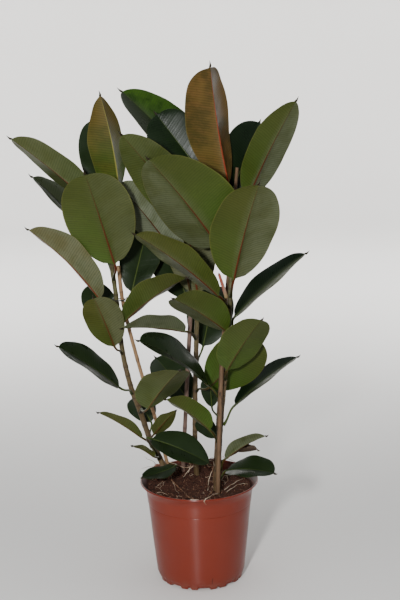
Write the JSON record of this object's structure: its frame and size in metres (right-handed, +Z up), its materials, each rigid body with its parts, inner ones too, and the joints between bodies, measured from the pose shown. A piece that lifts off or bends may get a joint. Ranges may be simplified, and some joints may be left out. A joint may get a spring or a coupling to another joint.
{
  "type": "potted rubber plant",
  "caption": "Free-standing rubber plant with tied woody stems and large leathery leaves, in a round tapered plastic pot of soil.",
  "frame": {"origin": "centre of the pot's underside, on the surface it stands on", "axes": "+Z up along the pot's axis, -Y towards the front, +X to the right as seen from the front"},
  "size_m": [0.6312, 0.3417, 1.16],
  "materials": {
    "pot": "moulded terracotta-coloured plastic, satin, soft sheen",
    "soil": "crumbly dark potting soil, fully rough",
    "root": "dry pale woody root",
    "stem": "olive-brown young bark, satin",
    "stake": "dry pale cane, rough",
    "tie": "soft dark plant tie, matte",
    "leaf": "leathery: glossy dark green above, satin olive below with a red-brown midrib",
    "sheath": "smooth pink-red bud sheath, satin",
    "dry_scale": "dry curled brown scale, matte"
  },
  "bodies": {
    "root": {"pot": "pot", "soil": "soil", "root_left": "root", "root_front": "root", "stem_left": "stem", "stem_middle": "stem", "stem_right": "stem", "stake_left": "stake", "stake_middle": "stake", "stake_right": "stake", "stake_short": "stake", "tie_left": "tie", "sheath": "sheath", "dry_scale": "dry_scale", "leaf_left_01": "leaf", "leaf_left_02": "leaf", "leaf_left_03": "leaf", "leaf_left_04": "leaf", "leaf_left_05": "leaf", "leaf_left_06": "leaf", "leaf_left_07": "leaf", "leaf_left_08": "leaf", "leaf_left_09": "leaf", "leaf_left_10": "leaf", "leaf_left_11": "leaf", "leaf_left_12": "leaf", "leaf_left_13": "leaf", "leaf_left_14": "leaf", "leaf_left_15": "leaf", "leaf_left_16": "leaf", "leaf_left_17": "leaf", "leaf_left_18": "leaf", "leaf_left_19": "leaf", "leaf_middle_01": "leaf", "leaf_middle_02": "leaf", "leaf_middle_03": "leaf", "leaf_middle_04": "leaf", "leaf_middle_05": "leaf", "leaf_middle_06": "leaf", "leaf_middle_07": "leaf", "leaf_right_01": "leaf", "leaf_right_02": "leaf", "leaf_right_03": "leaf", "leaf_right_04": "leaf", "leaf_right_05": "leaf", "leaf_right_06": "leaf", "leaf_right_07": "leaf", "leaf_right_08": "leaf", "leaf_right_09": "leaf", "leaf_right_10": "leaf", "leaf_right_11": "leaf", "leaf_right_12": "leaf", "leaf_right_13": "leaf", "leaf_right_14": "leaf", "leaf_right_15": "leaf", "leaf_right_16": "leaf", "leaf_right_17": "leaf", "leaf_right_18": "leaf", "leaf_right_19": "leaf", "leaf_right_20": "leaf"}
  },
  "joints": []
}
